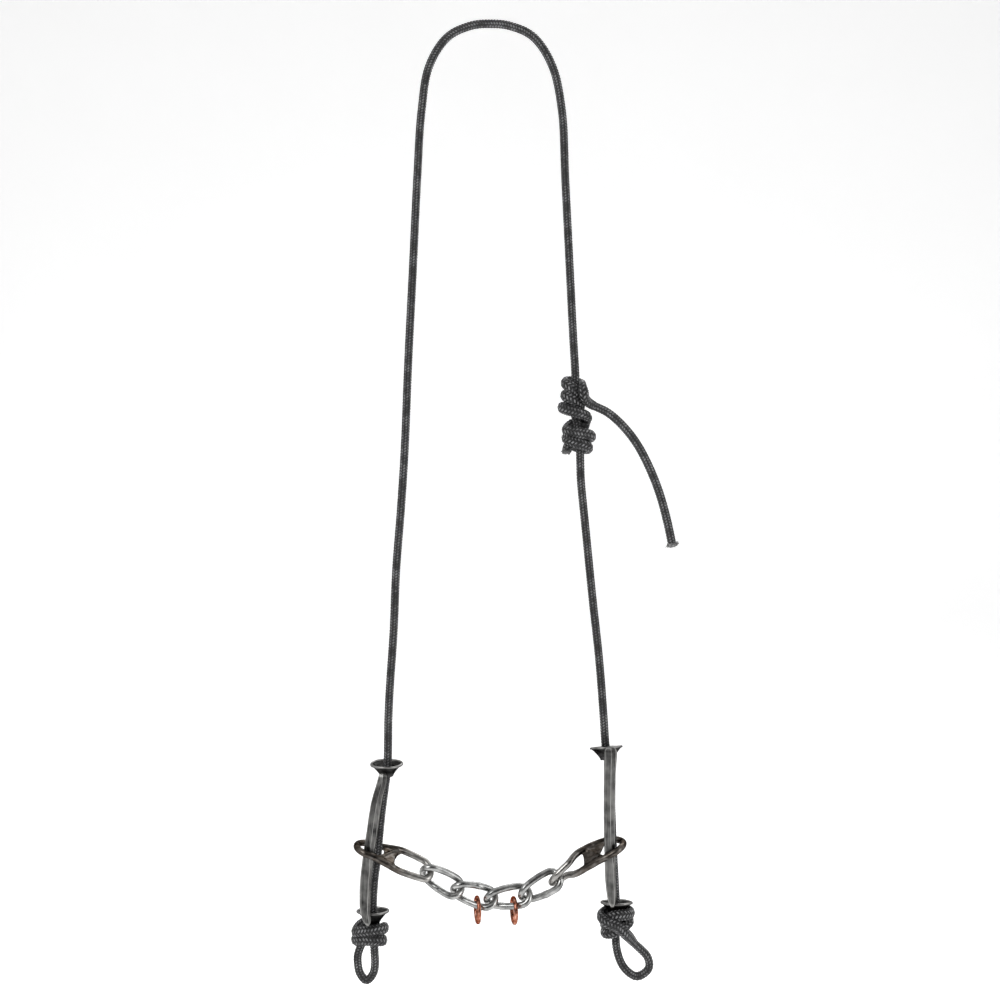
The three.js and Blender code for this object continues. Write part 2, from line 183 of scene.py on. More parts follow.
def around(sides):
    return np.linspace(0, 2 * math.pi, sides, endpoint=False)


def spokes(angle, a, b):
    """Directions at angles round a circle, from a towards b."""
    return np.cos(angle)[:, None] * a + np.sin(angle)[:, None] * b


def blurred(values, reach, **ends):
    """Values averaged over a reach to either side, with the ends padded as numpy is told."""
    window = np.hanning(2 * reach + 1)
    return np.convolve(np.pad(values, reach, **ends), window / window.sum(), "valid")


def smooth(p, rounds):
    p = p.copy()
    for _ in range(rounds):
        p[1:-1] += 0.5 * ((p[:-2] + p[2:]) / 2 - p[1:-1])
    return p


def frames(p, first=(0, -1, 0)):
    """Tangents and two normals that turn as little as they can along a line."""
    t = unit(np.gradient(p, axis=0))
    n = np.zeros_like(p)
    n[0] = unit(arr(first) - t[0] * np.dot(arr(first), t[0]))
    for i in range(1, len(p)):
        v = n[i - 1] - t[i] * np.dot(n[i - 1], t[i])
        n[i] = v / np.linalg.norm(v)
    return t, n, np.cross(t, n)


def leaning(back, side):
    """The turn that tilts an eyelet back and sideways, in degrees."""
    over = Matrix.Rotation(math.radians(-back), 3, "X") @ Matrix.Rotation(math.radians(side), 3, "Y")
    return np.array(over)


def place(name, data):
    made = bpy.data.objects.new(name, data)
    bpy.context.scene.collection.objects.link(made)
    return made


def quads(name, verts, faces, material, uv=None):
    """A smooth mesh object from arrays: verts in millimetres, faces of four corners each."""
    mesh = bpy.data.meshes.new(name)
    faces = np.asarray(faces, np.int32)
    mesh.vertices.add(len(verts))
    mesh.vertices.foreach_set("co", (np.asarray(verts, float) * MM).astype(np.float32).ravel())
    mesh.loops.add(faces.size)
    mesh.loops.foreach_set("vertex_index", faces.ravel())
    mesh.polygons.add(len(faces))
    mesh.polygons.foreach_set("loop_start", np.arange(len(faces), dtype=np.int32) * 4)
    mesh.polygons.foreach_set("use_smooth", np.ones(len(faces), bool))
    if uv is not None:
        layer = mesh.uv_layers.new(name="strand")
        layer.data.foreach_set("uv", np.asarray(uv, np.float32)[faces.ravel()].ravel())
    mesh.update()
    mesh.validate()
    mesh.materials.append(material)
    return place(name, mesh)


def mark(piece, key, values):
    """Stores a value at each corner for the material, such as its wear."""
    values = np.clip(values, 0, 1).astype(np.float32)
    piece.data.attributes.new(key, "FLOAT", "POINT").data.foreach_set("value", values)


def fit(piece, node, body):
    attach(piece, body)
    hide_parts(node)


def grid_faces(rows, columns, wrap_rows=False, wrap_columns=True):
    i = np.arange(rows if wrap_rows else rows - 1)
    k = np.arange(columns if wrap_columns else columns - 1)
    i, k = [x.ravel() for x in np.meshgrid(i, k, indexing="ij")]
    j, m = (i + 1) % rows, (k + 1) % columns
    return np.stack([i * columns + k, i * columns + m, j * columns + m, j * columns + k], 1)


# ---------------- materials


def node_maker(tree):
    """A function that adds a node to a tree: links and settings by input, or a property of the node."""

    def node(kind, links=(), **settings):
        made = tree.nodes.new("ShaderNode" + kind)
        for key, value in settings.items():
            if hasattr(made, key) and not key.startswith("in_"):
                setattr(made, key, value)
            else:
                key = key.removeprefix("in_").replace("_", " ")
                made.inputs[int(key) if key.isdigit() else key].default_value = value
        for socket, source in dict(links).items():
            tree.links.new(source, made.inputs[socket])
        return made

    return node


def shader(name, **values):
    """A new material, with functions that add a node to it and link into its Principled shader."""
    material = bpy.data.materials.new(name)
    material.use_nodes = True
    tree = material.node_tree
    main = tree.nodes["Principled BSDF"]
    for key, value in values.items():
        main.inputs[key.replace("_", " ")].default_value = value

    def to(socket, source):
        tree.links.new(source, main.inputs[socket])

    return material, node_maker(tree), to


def ramp(node, source, stops):
    made = node("ValToRGB", {"Fac": source})
    elements = made.color_ramp.elements
    while len(elements) < len(stops):
        elements.new(0.5)
    for element, (position, colour) in zip(elements, stops):
        element.position = position
        element.color = (*colour, 1) if len(colour) == 3 else (colour[0],) * 3 + (1,)
    return made.outputs["Color"]


def mix_colours(node, factor, a, b):
    """Colour a, going to the fixed colour b with factor."""
    made = node("Mix", data_type="RGBA")
    tree = made.id_data
    tree.links.new(factor, made.inputs[0])
    tree.links.new(a, made.inputs[6])
    made.inputs[7].default_value = (*b, 1)
    return made.outputs[2]


def cloud(node, scale, detail=2.0, vector=None, **settings):
    """Noise through the object's own space, or along a vector."""
    links = {"Vector": vector or node("TexCoord").outputs["Object"]}
    return node("TexNoise", links, in_Scale=scale, in_Detail=detail, **settings).outputs["Fac"]


def between(node, value, low, high):
    """A value from 0 to 1 as one from low to high."""
    return node("MapRange", {"Value": value}, in_To_Min=low, in_To_Max=high).outputs["Result"]


def marked(node, name):
    return node("Attribute", attribute_name=name).outputs["Fac"]


def bump(node, height, strength, distance):
    return node("Bump", {"Height": height}, in_Strength=strength, in_Distance=distance).outputs["Normal"]


def rope_material():
    """Tight braided black polyester with fine fibres along the strands, and painted shade: dark between
    the strands and at their edges, painted lighter on their crowns as a highlight.
    """
    material, node, to = shader("braided_black_rope")
    uv = node("UVMap", uv_map="strand").outputs["UV"]
    fibres = node("Mapping", {"Vector": uv}, in_Scale=(9, 0.35, 1)).outputs["Vector"]
    threads = cloud(node, 1.0, 3.0, fibres)
    varied = node("Math", {0: threads, 1: cloud(node, 220.0, 4.0)}, operation="ADD").outputs[0]
    lit = node("Math", {0: varied, 1: marked(node, "painted_weave_shade")}, operation="MULTIPLY").outputs[0]
    # Painted shade and highlight: near black in the crevices, light on the strands' crowns.
    to("Base Color", ramp(node, lit, [
        (0.3, (0.0008, 0.0008, 0.001)), (0.6, (0.004, 0.004, 0.0045)), (0.84, (0.034, 0.034, 0.036)),
        (1.0, (0.2, 0.2, 0.205)),
    ]))
    to("Roughness", between(node, threads, 0.34, 0.62))
    to("Normal", bump(node, threads, 0.5, 0.00008))
    return material


def core_material():
    material, node, to = shader("rope_core", Roughness=0.9)
    to("Base Color", ramp(node, cloud(node, 900.0),
        [(0.3, (0.006, 0.006, 0.007)), (0.8, (0.02, 0.02, 0.021))]))
    return material


def rope_end_material(name, dark, light):
    material, node, to = shader(name, Roughness=0.35)
    grain = cloud(node, 1100.0, 3.0)
    to("Base Color", ramp(node, grain, [(0.38, (dark,)), (0.62, (light,))]))
    to("Normal", bump(node, grain, 0.6, 0.0003))
    return material


def steel_material(name, dark, light, edge, rough, stretch, tint=None):
    """Steel with a drawn grain, a cloudy patina from dark to light, and the edge colour where it is
    marked: wear, and on the cheek bars also a painted highlight along the edges and ridge.

    A tint is the colour of a heat stain's dull scale."""
    material, node, to = shader(name, Metallic=1.0, Specular_Tint=(0.3, 0.3, 0.3, 1))
    place_in = node("TexCoord").outputs["Object"]
    drawn = node("Mapping", {"Vector": place_in}, in_Scale=stretch).outputs["Vector"]
    grain = cloud(node, 1.0, 5.0, drawn, in_Roughness=0.6)
    mixed = node("Math", {0: grain, 1: cloud(node, 160.0, 4.0)}, operation="ADD").outputs[0]
    mixed = node("Math", {0: mixed}, operation="MULTIPLY", in_1=0.5).outputs[0]
    patina = ramp(node, mixed, [(0.36, dark), (0.62, light)])
    # Painted highlight: on the cheek bars this mark lights the edges and ridge; elsewhere it is wear.
    wear_and_highlight_mix = node("Math", {0: marked(node, "wear_and_highlight"), 1: grain}, operation="MULTIPLY").outputs[0]
    wear_and_highlight_mix = node("Math", {0: wear_and_highlight_mix}, operation="MULTIPLY", in_1=2.0, use_clamp=True).outputs[0]
    colour = mix_colours(node, wear_and_highlight_mix, patina, edge)
    if tint:
        heat = marked(node, "heat")
        colour = mix_colours(node, heat, colour, tint)
        to("Metallic", between(node, heat, 1.0, 0.1))
    to("Base Color", colour)
    to("Roughness", between(node, mixed, *rough))
    to("Normal", bump(node, mixed, 0.35, 0.00025))
    return material


def copper_material():
    material, node, to = shader("copper_wire", Metallic=1.0, Specular_Tint=(0.3, 0.2, 0.17, 1))
    clouds = cloud(node, 420.0, 5.0)
    to("Base Color", ramp(node, clouds,
        [(0.34, (0.13, 0.045, 0.027)), (0.5, (0.34, 0.13, 0.082)), (0.66, (0.62, 0.33, 0.25))]))
    to("Roughness", between(node, clouds, 0.2, 0.42))
    to("Normal", bump(node, clouds, 0.25, 0.0002))
    return material


ROPE = rope_material()
ROPE_CORE = core_material()
MELTED = rope_end_material("melted_rope_end", 0.008, 0.24)
FRAYED = rope_end_material("frayed_rope_end", 0.004, 0.06)
# The dark steel's edge colour also paints the cheek bars' edge highlights.
DARK_STEEL = steel_material("dark_antique_steel", (0.022, 0.022, 0.022), (0.19, 0.188, 0.182),
    (0.55, 0.545, 0.53), (0.24, 0.44), (900, 900, 45))
EYELET_STEEL = steel_material("blackened_steel", (0.008, 0.008, 0.008), (0.075, 0.074, 0.073),
    (0.26, 0.258, 0.252), (0.26, 0.46), (260, 260, 900), tint=(0.2, 0.15, 0.12))
BROWN_STEEL = steel_material("brown_steel", (0.014, 0.0115, 0.0095), (0.1, 0.087, 0.076),
    (0.36, 0.352, 0.338), (0.2, 0.42), (120, 700, 700))
ZINC = steel_material("bright_zinc", (0.15, 0.152, 0.15), (0.4, 0.402, 0.395),
    (0.46, 0.46, 0.45), (0.2, 0.38), (300, 300, 300))
COPPER = copper_material()

# ---------------- braided rope

CARRIERS = 8          # strands that wind each way
BRAID_PITCH = 13.7    # one turn of a strand
CROSSING = BRAID_PITCH / (2 * CARRIERS)
BRAID_STEP = CROSSING * 2 / 3
KNOT_RADIUS = 3.0     # a rope spreads where a knot squeezes it
FIBRE_RUN = 1.3       # how far along a strand its fibres' pattern is stretched


class Line:
    """A rope's centreline, sampled on the braid's own grid so that pieces cut from it join unseen."""

    def __init__(self, points, step=BRAID_STEP, radius=ROPE_RADIUS):
        self.p = resample(arr(points), step)
        self.s = np.arange(len(self.p)) * step
        self.t, self.n, self.b = frames(self.p)
        self.r = np.full(len(self.p), radius)
        self.away = np.zeros_like(self.p)

    def flatten(self, middle, spread=0.17):
        """Presses the rope flat against what it is wound round, given points along its middle."""
        near = np.argmin(np.linalg.norm(self.p[:, None] - arr(middle)[None], axis=2), axis=1)
        away = self.p - arr(middle)[near]
        away = unit(away - self.t * np.sum(away * self.t, 1, keepdims=True))
        squeezed = np.clip((self.r - ROPE_RADIUS) / (KNOT_RADIUS - ROPE_RADIUS), 0, 1)
        self.away = away * np.sqrt(spread * squeezed)[:, None]

    def pressed(self, i, offsets):
        """Offsets from the line's points, narrowed away from what it is wound round, wider along it."""
        away, along = self.away[i], np.cross(self.t[i], self.away[i])
        shape = (len(i),) + (1,) * (offsets.ndim - 2) + (3,)
        away, along = away.reshape(shape), along.reshape(shape)
        return offsets - 0.5 * away * np.sum(offsets * away, -1, keepdims=True) + along * np.sum(
            offsets * along, -1, keepdims=True)

    def index(self, point):
        return int(np.argmin(np.linalg.norm(self.p - arr(point), axis=1)))

    def swell(self, start, end, run=6.0):
        """Spreads the rope where a knot squeezes it, easing in and out."""
        into = np.clip((self.s - self.s[start]) / run, 0, 1)
        out_of = np.clip((self.s[end] - self.s) / run, 0, 1)
        if start == 0:
            into[:] = 1
        if end == len(self) - 1:
            out_of[:] = 1
        self.r = self.r + (KNOT_RADIUS - ROPE_RADIUS) * np.minimum(into, out_of)

    def __len__(self):
        return len(self.p)


def capped(rows, columns):
    """Faces of a tube of an even number of sides, closed at both ends."""
    cap = arr([(0, k, k + 1, k + 2) for k in range(1, columns - 1, 2)]).astype(int)
    return np.vstack([grid_faces(rows, columns), cap[:, ::-1], cap + (rows - 1) * columns])


def braid(line, start, end):
    """Strands of one stretch of a line: verts, faces, UVs, and how far out of the weave each vert lies,
    which the rope's colour turns into painted shade between and under the strands.

    Each strand floats over two and dives under two."""
    i = np.arange(max(0, start), min(len(line) - 1, end) + 1)
    p, t, n, b, radius = line.p[i], line.t[i], line.n[i], line.b[i], line.r[i]
    crossing = i * BRAID_STEP / CROSSING
    lift, half_thickness = 0.29, 0.22
    lean = math.atan2(2 * math.pi * ROPE_RADIUS, BRAID_PITCH)
    spacing = 2 * math.pi * radius / CARRIERS * math.cos(lean)
    profile = [(-1.0, -0.9), (-0.5, 0.75), (0.5, 0.75), (1.0, -0.9)]
    sides = len(profile)
    verts, faces, uvs, weave_shades = [], [], [], []
    for turn in (1, -1):
        for k in range(CARRIERS):
            angle = turn * math.pi * crossing / CARRIERS + 2 * math.pi * k / CARRIERS
            height = turn * np.cos(math.pi / 2 * (2 * k + turn * crossing - 0.5))
            out = spokes(angle, n, b)
            side = -np.sin(angle)[:, None] * n + np.cos(angle)[:, None] * b
            across = math.cos(lean) * side - turn * math.sin(lean) * t
            at = radius - lift - half_thickness + lift * height
            half = spacing * (0.465 + 0.035 * height)
            rows = np.stack([
                out * (at + half_thickness * up)[:, None] + across * (half * x)[:, None]
                for x, up in profile
            ], 1)
            faces.append(capped(len(i), sides) + len(verts) * len(i) * sides)
            verts.append((p[:, None] + line.pressed(i, rows)).reshape(-1, 3))
            u = np.tile([0.5 + 0.5 * x for x, _ in profile], len(i))
            v = np.repeat(line.s[i] / FIBRE_RUN + 7.3 * k, sides)
            uvs.append(np.stack([u + 2 * k, v], 1))
            # Painted shade: strand edges and stretches where a strand dives under get low values, painted
            # near black; the crowns get the highest, painted light.
            middle = np.array([1.0 if up > 0 else 0.22 for _, up in profile])
            weave_shades.append(((0.5 + 0.5 * height)[:, None] * middle[None]).ravel())
    return np.vstack(verts), np.vstack(faces), np.vstack(uvs), np.concatenate(weave_shades)


def core(line, start, end, inset=0.72, sides=12, skip=3):
    """A plain tube inside a stretch of a line."""
    last = min(len(line) - 1, end)
    i = np.unique(np.r_[np.arange(max(0, start), last, skip), last])
    ring = spokes(around(sides), line.n[i][:, None], line.b[i][:, None])
    verts = line.p[i][:, None] + line.pressed(i, (line.r[i] - inset)[:, None, None] * ring)
    return verts.reshape(-1, 3), capped(len(i), sides)


def rope_piece(name, node, stretches):
    """One object from stretches of lines: the strands, and the dark core inside."""
    verts, faces, uvs, weave_shades, kinds, count = [], [], [], [], [], 0
    for line, start, end in stretches:
        v, f, u, o = braid(line, start, end)
        inner, inner_faces = core(line, start, end)
        verts += [v, inner]
        faces += [f + count, inner_faces + count + len(v)]
        uvs += [u, np.zeros((len(inner), 2))]
        weave_shades += [o, np.zeros(len(inner))]
        kinds += [np.zeros(len(f), int), np.ones(len(inner_faces), int)]
        count += len(v) + len(inner)
    piece = quads(name, np.vstack(verts), np.vstack(faces), ROPE, uv=np.vstack(uvs))
    # Painted shade: this value darkens the crevices and strand edges in the rope's colour, and lightens
    # the crowns.
    mark(piece, "painted_weave_shade", np.concatenate(weave_shades))
    piece.data.materials.append(ROPE_CORE)
    piece.data.polygons.foreach_set("material_index", np.concatenate(kinds))
    fit(piece, node, "headstall")
    return piece


def settle(strands, free, apart, blocks=(), rounds=260, keep=0.04, step=1.2):
    """Pulls given strands snug in a knot: bends eased, and none inside another.

    Free holds, for each strand, a function from its points to how freely each may move."""
    laid = [resample(arr(s), step) for s in strands]
    which = np.concatenate([np.full(len(s), k) for k, s in enumerate(laid)])
    p = np.vstack(laid)
    home = p.copy()
    loose = np.concatenate([f(s) for f, s in zip(free, laid)])[:, None]
    inner = np.r_[False, (which[1:-1] == which[:-2]) & (which[1:-1] == which[2:]), False]
    near = int(apart * 1.45 / step)
    i, j = np.triu_indices(len(p), 1)
    pairs = (which[i] != which[j]) | (j - i > near)
    i, j = i[pairs], j[pairs]
    for _ in range(rounds):
        move = keep * (home - p)
        bend = (np.roll(p, 1, 0) + np.roll(p, -1, 0)) / 2 - p
        move[inner] += 0.3 * bend[inner]
        d = p[j] - p[i]
        dist = np.linalg.norm(d, axis=1)
        close = dist < apart
        share = loose[i[close]] + loose[j[close]] + 1e-6
        push = ((apart - dist[close]) / np.maximum(dist[close], 1e-6))[:, None] * d[close] * 0.6
        np.add.at(move, i[close], -push / share)
        np.add.at(move, j[close], push / share)
        p = p + np.clip(move, -0.5, 0.5) * loose
        for block in blocks:
            p = np.where(loose > 0, block(p), p)
    return [p[which == k] for k in range(len(laid))]


def coil(into, stops, out_of, depth, lift=0.0, steps=9):
    """A lead in, turns round a knot's middle, and a lead out.

    The turns go across the front to the next stop, and back behind to the one after. A stop is where
    the strand's middle passes a side, as x and z."""
    out = list(into)
    for k, ((x0, z0), (x1, z1)) in enumerate(zip(stops, stops[1:])):
        front = 1 if k % 2 == 0 else -1
        for a in np.linspace(0, math.pi, steps, endpoint=False):
            c, s = math.cos(a), math.sin(a)
            across = 0.5 - 0.5 * math.copysign(abs(c) ** 0.85, c)
            height = z0 + (z1 - z0) * a / math.pi + front * lift * s
            out.append((x0 + (x1 - x0) * across, -front * depth * s ** 0.85, height))
    return out + [(stops[-1][0], 0, stops[-1][1])] + list(out_of)


# ---------------- the rope's lines and knots


def outside_cone(place, clear=ROPE_RADIUS + 0.1):
    """Keeps a knot's strands below and outside an eyelet, but for the rope that goes in at its hole."""
    foot, back, side = place
    axis = leaning(back, side)[:, 2]
    small, slope, height = EYELET["hole"] + EYELET["wall"], 0.72, EYELET["height"]

    def block(p):
        rel = p - arr(foot)
        h = rel @ axis
        radial = rel - h[:, None] * axis
        r = np.linalg.norm(radial, axis=1)
        wall = small + slope * np.clip(h, 0, height)
        gap = (r - wall) * math.cos(math.atan(slope)) - np.maximum(0, -h)
        below = (h < 0) & (r < small)
        gap = np.where(below, -h, gap)
        gap = np.where((h < 0) & (r >= small), np.hypot(r - small, h), gap)
        short = (gap < clear) & (h < height + 2)
        normal = unit(unit(radial) * math.cos(math.atan(slope)) - axis * math.sin(math.atan(slope)))
        normal = np.where(below[:, None], -axis, normal)
        return np.where(short[:, None], p + normal * np.clip(clear - gap, 0, 0.6)[:, None], p)

    return block


# Hidden end inside the left knot, down its loop and up through it to the eyelet.
LEFT_LEGS = [
    (-75.3, 1.2, -540.6), (-75.6, 0.8, -544), (-76.6, 0.4, -548), (-78.2, 0, -552), (-79.3, 0, -556),
    *LEFT_LOOP, (-69.2, 0, -556), (-69.4, 0, -551), (-69.9, 0, -546), (-70.2, 0, -541.5),
]
LEFT_WRAPS = [
    [(-70.5, 3.4, -539.4), (-74, 6.4, -538.2), (-77.8, 5.6, -539), (-80.4, 2.6, -541.4)],
    [(-81.2, -543.6), (-62.6, -539.2), (-81.0, -546.2), (-63.2, -547.4)],
    [(-66.8, 4.6, -547.4), (-71, 5.4, -546.8), (-75, 4, -546)],
]
# Down through the right knot and round its loop, then up across its front and round it.
RIGHT_KNOT = [
    (75.6, 0, -536), (75.3, 0, -541), *RIGHT_LOOP[::-1], (87, -0.5, -549.4),
    (83.4, -3.8, -544.2), (80.2, -7, -540.2), (76.4, -9.4, -536.2), (72, -9.4, -533.6),
    (67.8, -5.8, -532.6), (66.2, 0, -532.6), (69, 5.4, -531.6), (75, 8.4, -530), (80.6, 5.8, -529.2),
    (82.2, 0.4, -529),
    (80.2, -6, -529), (75.8, -8.6, -529.6), (71.4, -6.8, -531.4), (68.4, -3, -536.4), (67.8, 1, -538),
    (71, 5.2, -537.4), (76.5, 6.6, -536.2), (81.8, 4.8, -535), (84.8, 0, -534.8), (82.4, -4.2, -536.6),
    (77.6, -5.4, -539.6), (73, -5.4, -541.2), (69.4, -3.2, -542.4), (67.8, 0.8, -542.4),
    (70.4, 4.8, -541.6), (76, 5.6, -540.6), (80, 3.6, -540),
]
ADJUSTER_CORE = [
    (51.3, 0, -208.6), (50.8, 0.2, -214), (50, 0.4, -221), (50.2, 0.4, -229), (52.2, 0, -237),
    (53.2, 0.2, -244), (53.9, 0, -251), (54.1, 0, -256.7),
]
# From inside the lower knot, up round the rope, over its back and down its front edge to the tail.
UPPER_WRAPS = [
    [(50.6, 2.8, -242), (52.6, 4.8, -239.2), (55.4, 4.8, -236.4)],
    [(59.4, -233.8), (42.4, -227.4), (53.8, -226.8), (44.2, -219.9), (53.2, -219.6), (44.3, -212.6)],
    [(47.2, 4.6, -211.2), (50.8, 5.4, -211.4), (53.4, 4.2, -212.4), (54.4, 0.4, -214.4),
        (54.2, -5.2, -217.2), (54.4, -6.6, -220.6), (56.8, -4.6, -224)],
]
LOWER_WRAPS = [
    [(54.5, 3.4, -237.6), (50, 5.6, -237.8)],
    [(44.7, -241.6), (61.8, -245), (45, -246.4), (60.2, -252.2)],
    [(54.5, 5.2, -252), (49.4, 4, -249.4), (46.6, 0.4, -248.8), (45.6, -2.2, -250.6), (45.8, -2.8, -254)],
]
KNOT_APART = 4.8       # how close the middles of two strands may come
TAIL_SPREAD = 0.28     # the free tail is slacker than the rope under load


def held(low, high):
    """Frees the strands between two heights, easing in at each."""
    return lambda p: np.clip((p[:, 2] - low) / 4, 0, 1) * np.clip((high - p[:, 2]) / 4, 0, 1)


def stiffly(share, low, high):
    return lambda p: share * held(low, high)(p)


def past(start, run=5.0):
    """Holds a strand up to a distance along it, and frees what comes after."""
    return lambda p: np.clip((lengths(p) - start) / run, 0, 1)


def rope_line(points, radius=ROPE_RADIUS):
    return Line(smooth(resample(points, 0.4), 6), radius=radius)


left_legs, left_coil = settle(
    [spline(LEFT_LEGS + CROWN_ROUTE[:1]), spline(coil(*LEFT_WRAPS, depth=6.6, lift=2.0))],
    [stiffly(0.25, -553, -537), lambda p: np.ones(len(p))], KNOT_APART,
    [outside_cone(EYELETS["left"]["lower"])],
)
right_leg_length = lengths(spline(RIGHT_ROUTE[-1:] + RIGHT_KNOT[:10]))[-1]
right_knot, = settle(
    [spline(RIGHT_ROUTE[-1:] + RIGHT_KNOT)], [past(right_leg_length - 4)], KNOT_APART,
    [outside_cone(EYELETS["right"]["lower"])],
)
adjuster_core = spline(ADJUSTER_CORE)
headstall = rope_line(np.vstack([
    left_legs[:-1], spline(CROWN_ROUTE), adjuster_core[1:], spline(RIGHT_ROUTE)[1:], right_knot[1:],
]))
_, upper_coil, lower_coil = settle(
    [adjuster_core, spline(coil(*UPPER_WRAPS, depth=6.0) + TAIL_ROUTE[:1]),
        spline(coil(*LOWER_WRAPS, depth=6.4))],
    [lambda p: np.zeros(len(p)), lambda p: np.clip((lengths(p)[-1] - lengths(p)) / 5, 0, 1),
        lambda p: np.ones(len(p))], KNOT_APART,
)
tail = rope_line(np.vstack([upper_coil[:-1], spline(TAIL_ROUTE)]))
left_wraps = rope_line(left_coil, KNOT_RADIUS)
lower_wraps = rope_line(lower_coil, KNOT_RADIUS)


# ---------------- the rope's pieces

cuts = {key: headstall.index(point) for key, point in {
    "left_outer": (-79.3, 0, -556), "left_inner": (-69.2, 0, -556), "left_eyelet": CROWN_ROUTE[0],
    "above": CROWN_ROUTE[-1], "waist": (52.2, 0, -237), "below": RIGHT_ROUTE[0],
    "right_eyelet": RIGHT_ROUTE[-1], "right_outer": (87, -0.5, -549.4), "right_inner": (74.9, 0, -547.5),
}.items()}
end = len(headstall) - 1
tail_start = tail.index(TAIL_ROUTE[0])
headstall.swell(cuts["right_outer"], end)
tail.swell(0, tail_start)
tail.r += TAIL_SPREAD * np.clip((tail.s - tail.s[tail_start] + 6) / 6, 0, 1)
headstall.flatten([(75.4, 0, z) for z in np.arange(-545, -529, 0.5)])
left_wraps.flatten([(x, 0, z) for z in np.arange(-550, -536, 0.5) for x in (-75, -69.8)])
tail.flatten(adjuster_core)
lower_wraps.flatten(adjuster_core)
upper_knot = rope_piece("adjuster_upper_knot", "upper_adjuster_knot", [
    (headstall, cuts["above"], cuts["waist"]), (tail, 0, tail_start),
])
lower_knot = rope_piece("adjuster_lower_knot", "lower_adjuster_knot", [
    (headstall, cuts["waist"], cuts["below"]), (lower_wraps, 0, len(lower_wraps)),
])
left_knot_piece = rope_piece("left_stopper_knot", "left_rein_knot", [
    (headstall, 0, cuts["left_outer"]), (headstall, cuts["left_inner"], cuts["left_eyelet"]),
    (left_wraps, 0, len(left_wraps)),
])
right_knot_piece = rope_piece("right_stopper_knot", "right_rein_knot", [
    (headstall, cuts["right_eyelet"], cuts["right_inner"]), (headstall, cuts["right_outer"], end),
])


def rope_cord(name, node, line, start, stop):
    """A stretch of rope that stands for a CAD tube."""
    piece = rope_piece(name, node, [(line, start, stop)])


def cut_end(name, line, cap, ends, reach, material, seed):
    """A rope's cut end: a rough cap of melted or matted fibre, with strands' ends standing out of it.

    The cap is a list of heights over the rope's end and radii, and reach is where the ends stand."""
    random = np.random.default_rng(seed)
    p, t, n, b = line.p[-1], line.t[-1], line.n[-1], line.b[-1]
    angle = around(28)
    spoke = spokes(angle, n, b)
    rings = []
    for height, radius in cap:
        bumps = 1 + 0.07 * np.sin(3 * angle + 4 * height) + 0.05 * np.sin(7 * angle + 9 * height)
        rise = height + 0.15 * np.sin(5 * angle)
        rings.append(p + t * rise[:, None] + spoke * (radius * bumps)[:, None])
    verts, faces = [np.vstack(rings)], [capped(len(cap), len(angle))]
    count = len(verts[0])
    rim = max(radius for _, radius in cap)
    square = ((1, 1), (-1, 1), (-1, -1), (1, -1))
    for turn in random.uniform(0, 2 * math.pi, ends):
        out, height = math.cos(turn) * n + math.sin(turn) * b, random.uniform(*reach)
        along = out * random.uniform(0.2, 1.0) + t * random.uniform(0.3, 1.0)
        along = unit(along + 0.3 * random.normal(size=3))
        side = unit(np.cross(along, out))
        up = np.cross(side, along)
        start = p + out * rim * random.uniform(0.55, 0.92) + t * (height - 0.8)
        length, thick = random.uniform(1.0, 1.8), random.uniform(0.16, 0.26)
        for share, width in ((0, 1.0), (0.6, 0.9), (1, 0.45)):
            middle = start + along * length * share + t * 0.25 * share ** 2
            verts.append(arr([middle + width * thick * (x * side + y * up) for x, y in square]))
        faces.append(capped(3, len(square)) + count)
        count += 3 * len(square)
    piece = quads(name, np.vstack(verts), np.vstack(faces), material)
    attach(piece, "headstall")
    return piece


rope_cord("crown_braid", "crown_rope", headstall, cuts["left_eyelet"], cuts["above"])
rope_cord("right_braid", "right_rope", headstall, cuts["below"], cuts["right_eyelet"])
tail_end = cut_end("tail_melted_end", tail,
    [(-0.9, 2.3), (-0.6, 2.95), (0.3, 3.3), (1.1, 3.2), (1.8, 2.5), (2.2, 1.2)],
    ends=44, reach=(0.0, 1.6), material=MELTED, seed=3)
cut_end("stub_frayed_end", lower_wraps, [(-0.8, 2.0), (-0.5, 2.5), (0.4, 2.7), (0.9, 2.3), (1.1, 1.2)],
    ends=36, reach=(-0.2, 0.8), material=FRAYED, seed=8)
rope_cord("tail_braid", "adjuster_tail", tail, tail_start, len(tail) - 1)
rope_cord("left_loop_braid", "left_rein_loop", headstall, cuts["left_outer"], cuts["left_inner"])
rope_cord("right_loop_braid", "right_rein_loop", headstall, cuts["right_inner"], cuts["right_outer"])

# ---------------- metal work

def fused(name, parts, voxel, rounds, material):
    """One smooth skin round closed meshes that run into each other."""
    count, verts, faces = 0, [], []
    for v, f in parts:
        verts.append(v)
        faces.append(f + count)
        count += len(v)
    piece = quads(name, np.vstack(verts), np.vstack(faces), material)
    remesh = piece.modifiers.new("skin", "REMESH")
    remesh.mode, remesh.voxel_size = "VOXEL", voxel * MM
    melt = piece.modifiers.new("melt", "SMOOTH")
    melt.factor, melt.iterations = 0.5, rounds
    rough = piece.data
    graph = bpy.context.evaluated_depsgraph_get()
    piece.data = bpy.data.meshes.new_from_object(piece.evaluated_get(graph))
    piece.modifiers.clear()
    bpy.data.meshes.remove(rough)
    piece.data.name = name
    piece.data.polygons.foreach_set("use_smooth", np.ones(len(piece.data.polygons), bool))
    return piece


def corners(mesh):
    co = np.empty(len(mesh.vertices) * 3, np.float32)
    mesh.vertices.foreach_get("co", co)
    return co.reshape(-1, 3).astype(float) / MM


def rumple(points, scale, seed):
    """Smooth noise between about -1 and 1 at points in millimetres."""
    shift = Vector((seed * 7.31, seed * 3.17, seed * 5.93))
    return np.array([noise.noise(Vector(p) * scale + shift) for p in points])


